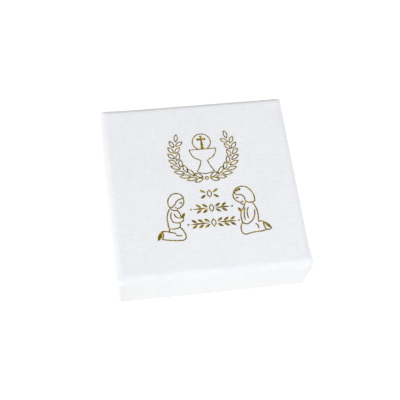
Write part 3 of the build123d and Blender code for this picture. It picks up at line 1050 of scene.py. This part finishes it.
# %% Pad: fill it by cloth simulation
def glue_below(piece):
    """A vertex group that pins the lower part of the pad."""
    glued = piece.vertex_groups.new(name="glued")
    for vertex in piece.data.vertices:
        share = (vertex.co.z / cloth_scale - pad_low.z) / (pad_high.z - pad_low.z)
        glued.add([vertex.index], 1.0 if share < glued_share else 0.0, "REPLACE")
    return glued.name


def fill_pad(piece):
    """Blows the pad up a little, then caps and applies how far each point moved."""
    cloth = piece.modifiers.new("cloth", "CLOTH")
    cloth.settings.vertex_group_mass = glue_below(piece)
    for key, value in cloth_settings.items():
        setattr(cloth.settings, key, value)
    cloth.settings.effector_weights.gravity = 0.0
    for frame_number in range(1, cloth_frames + 1):
        scene.frame_set(frame_number)
    graph = bpy.context.evaluated_depsgraph_get()
    moved = piece.evaluated_get(graph).to_mesh()
    limit = cloth_cap * cloth_scale
    furthest = 0.0
    for vertex, after in zip(piece.data.vertices, moved.vertices):
        step = after.co - vertex.co
        furthest = max(furthest, step.length)
        if step.length > limit:
            step *= limit / step.length
        vertex.co += step
    piece.modifiers.clear()
    piece.vertex_groups.clear()
    scene.frame_set(1)
    print("furthest move before the cap:", round(furthest / cloth_scale / MM, 3), "mm")


# %% [markdown]
# The two post holes and the two slits come after the simulation. Around each one the flock is drawn
# down a little by the blade that cut it, then a Boolean takes the cut itself out.

# %% Pad: holes and slits
post_spacing = 20.0 * MM
post_line = 7.0 * MM
post_hole_radius = 0.6 * MM
slit_line = -3.0 * MM
slit_length = 8.0 * MM
slit_width = 0.8 * MM
cut_depth = 5.0 * MM
dimple_depth = 0.3 * MM
dimple_reach = 1.1 * MM
slot_steps = 10  # round each end
same_place = 0.0001 * MM  # points closer than this are one


def pad_cuts():
    """(x, y, length, width) of each post hole and slit."""
    cuts = []
    for side in (-1, 1):
        x = side * post_spacing / 2
        cuts.append((x, post_line, 2 * post_hole_radius, 2 * post_hole_radius))
        cuts.append((x, slit_line, slit_length, slit_width))
    return cuts


def press_dimples(piece):
    """Draws the flock down round each cut, most at its edge."""
    for vertex in piece.data.vertices:
        if vertex.co.z <= pad_high.z - pad_edge:
            continue
        for x, y, length, width in pad_cuts():
            off_x = max(abs(vertex.co.x - x) - (length - width) / 2, 0)
            gap = max(math.hypot(off_x, vertex.co.y - y) - width / 2, 0)
            vertex.co.z -= dimple_depth * fading(gap / dimple_reach)


def slot_cutter(x, y, length, width):
    """An upright slot with round ends."""
    mesh = bmesh.new()
    radius, run = width / 2, (length - width) / 2
    outline = []
    for end, start in ((1, 0), (-1, math.pi)):
        for step in range(slot_steps + 1):
            turn = math.pi * (step / slot_steps - 0.5) + start
            place_x = x + end * run + radius * math.cos(turn)
            outline.append((place_x, y + radius * math.sin(turn)))
    low = [mesh.verts.new((px, py, pad_high.z - cut_depth)) for px, py in outline]
    high = [mesh.verts.new((px, py, pad_high.z + cut_depth)) for px, py in outline]
    mesh.faces.new(list(reversed(low)))
    mesh.faces.new(high)
    join_loops(mesh, low, high)
    bmesh.ops.remove_doubles(mesh, verts=mesh.verts, dist=same_place)
    bmesh.ops.recalc_face_normals(mesh, faces=mesh.faces)
    return mesh


def cut_slots(piece):
    """Takes the holes and slits out of the pad, one by one."""
    for number, cut in enumerate(pad_cuts()):
        cutter = finished_piece(f"cutter_{number}", slot_cutter(*cut), flock)
        with_modifier(piece, "BOOLEAN", operation="DIFFERENCE", solver="EXACT", object=cutter)
        bpy.data.objects.remove(cutter)


# %% Pad
def crown_pad(piece, top):
    """Shrinks the pad back to its size and raises its middle, inside the box of its node."""
    half = (pad_high.x, pad_high.y)
    for vertex in piece.data.vertices:
        vertex.co /= cloth_scale
        rise = (1 - (vertex.co.x / half[0]) ** 2) * (1 - (vertex.co.y / half[1]) ** 2)
        share = max((vertex.co.z - pad_low.z) / (top - pad_low.z), 0)
        vertex.co.z += (pad_crown - cloth_cap) * max(rise, 0) * share
        for axis in (0, 1):
            vertex.co[axis] = max(-half[axis], min(half[axis], vertex.co[axis]))
        vertex.co.z = max(vertex.co.z, pad_low.z)


def earring_pad():
    top = Vector((pad_high.x, pad_high.y, pad_high.z - pad_crown))
    mesh = rounded_block(pad_low, top, pad_edge, block_cuts)
    bmesh.ops.scale(mesh, vec=(cloth_scale,) * 3, verts=mesh.verts)
    piece = finished_piece("flocked_pad", mesh, flock)
    with_modifier(piece, "REMESH", mode="VOXEL", voxel_size=pad_voxel * cloth_scale)
    fill_pad(piece)
    crown_pad(piece, top.z)
    with_modifier(piece, "SUBSURF", levels=1, render_levels=1)
    press_dimples(piece)
    cut_slots(piece)
    for polygon in piece.data.polygons:
        polygon.use_smooth = True
    return piece


pad = earring_pad()
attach(pad, "base")
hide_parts("pad_cover", "pad_foam")
heights = [round(vertex.co.z / MM, 2) for vertex in pad.data.vertices]
print("pad:", len(pad.data.polygons), "faces, mm from", min(heights), "to", max(heights))

# %% [markdown]
# ## Floor and light
# The box stands on a plain pale floor in a soft studio. White paper on white is easily lost, so the
# light comes more from the front: a sky that is dim at the back leaves the rear fold grey. Of three
# soft lamps, a broad one at the left makes that wall a little brighter than the top, a small cool
# one close above the front edge lets the top fade backwards, and a weak one at the right keeps the
# right fold as bright as the top. The floor and the sky look white to the camera and in gloss, but
# light the box at their own plain level.

# %% Floor
floor_radius, floor_sides = 1.6, 96
floor_tone = colour(0.9, 0.885, 0.845)  # faintly warm, as a sheet of studio paper is
floor_lift = 0.45  # added where the camera or a glossy ray looks
white = colour(1, 1, 1)


def seen_directly(tree):
    """1 for a ray from the camera, from gloss or through glass, and 0 for light on things."""
    node = add_node(tree, "ShaderNodeLightPath").socket.node
    camera_ray, gloss_ray, glass_ray = [
        Wire(tree, node.outputs[f"Is {kind} Ray"]) for kind in ("Camera", "Glossy", "Transmission")
    ]
    return camera_ray.maths("MINIMUM", camera_ray + gloss_ray + glass_ray, 1.0)


def floor_recipe(tree):
    return {"Emission Strength": seen_directly(tree) * floor_lift}


matt = {"Roughness": 0.9, "Specular_IOR_Level": 0.1}
floor_finish = finish("floor", floor_recipe, Base_Color=floor_tone, Emission_Color=white, **matt)

floor_mesh = bmesh.new()
bmesh.ops.create_circle(floor_mesh, cap_ends=True, segments=floor_sides, radius=floor_radius)
finished_piece("floor", floor_mesh, floor_finish)

# %% Sky
sky_front, sky_back = 0.785, 0.05
fade_start, fade_end = 0.3, 0.85  # where it dims, from -1 in front to 1 behind
fade_slant = 0.2  # the dim part lies a little to the left


def make_sky():
    world = bpy.data.worlds.new("sky")
    world.use_nodes = True
    tree = world.node_tree
    side, depth, _ = split(add_node(tree, "ShaderNodeTexCoord", output="Generated"))
    dimmed = (depth - side * fade_slant).ramp(fade_start, fade_end)
    level = sky_front + (sky_back - sky_front) * dimmed
    seen = seen_directly(tree)
    strength = seen + (1 - seen) * level
    background = tree.nodes["Background"]
    background.inputs["Color"].default_value = white
    tree.links.new(strength.socket, background.inputs["Strength"])
    scene.world = world


make_sky()
print("sky from", sky_front, "in front to", sky_back, "behind")

# %% Lamps
def soft_lamp(name, place, width, power, tone):
    """A round area lamp that looks at the box. Its place is in metres, its power in watts."""
    lamp = bpy.data.lights.new(name, "AREA")
    lamp.shape = "DISK"
    lamp.size = width
    lamp.energy = power
    lamp.color = tone
    holder = bpy.data.objects.new(name, lamp)
    holder.location = place
    holder.rotation_euler = (-Vector(place)).to_track_quat("-Z", "Y").to_euler()
    scene.collection.objects.link(holder)
    print(name, "is", round(Vector(place).length, 2), "m away")


soft_lamp("left_lamp", (-0.9, -0.22, 0.34), width=0.5, power=3.6, tone=(0.99, 1.0, 0.995))
soft_lamp("front_lamp", (0.12, -0.2, 0.28), width=0.155, power=0.25, tone=(0.92, 0.93, 1.0))
soft_lamp("right_lamp", (0.75, -0.05, 0.2), width=0.4, power=0.8, tone=(1.0, 0.99, 0.98))

# %% [markdown]
# ## Settings and the end
# The Standard view transform shows colours as they are written.

# %% Finish
scene.view_settings.view_transform = "Standard"
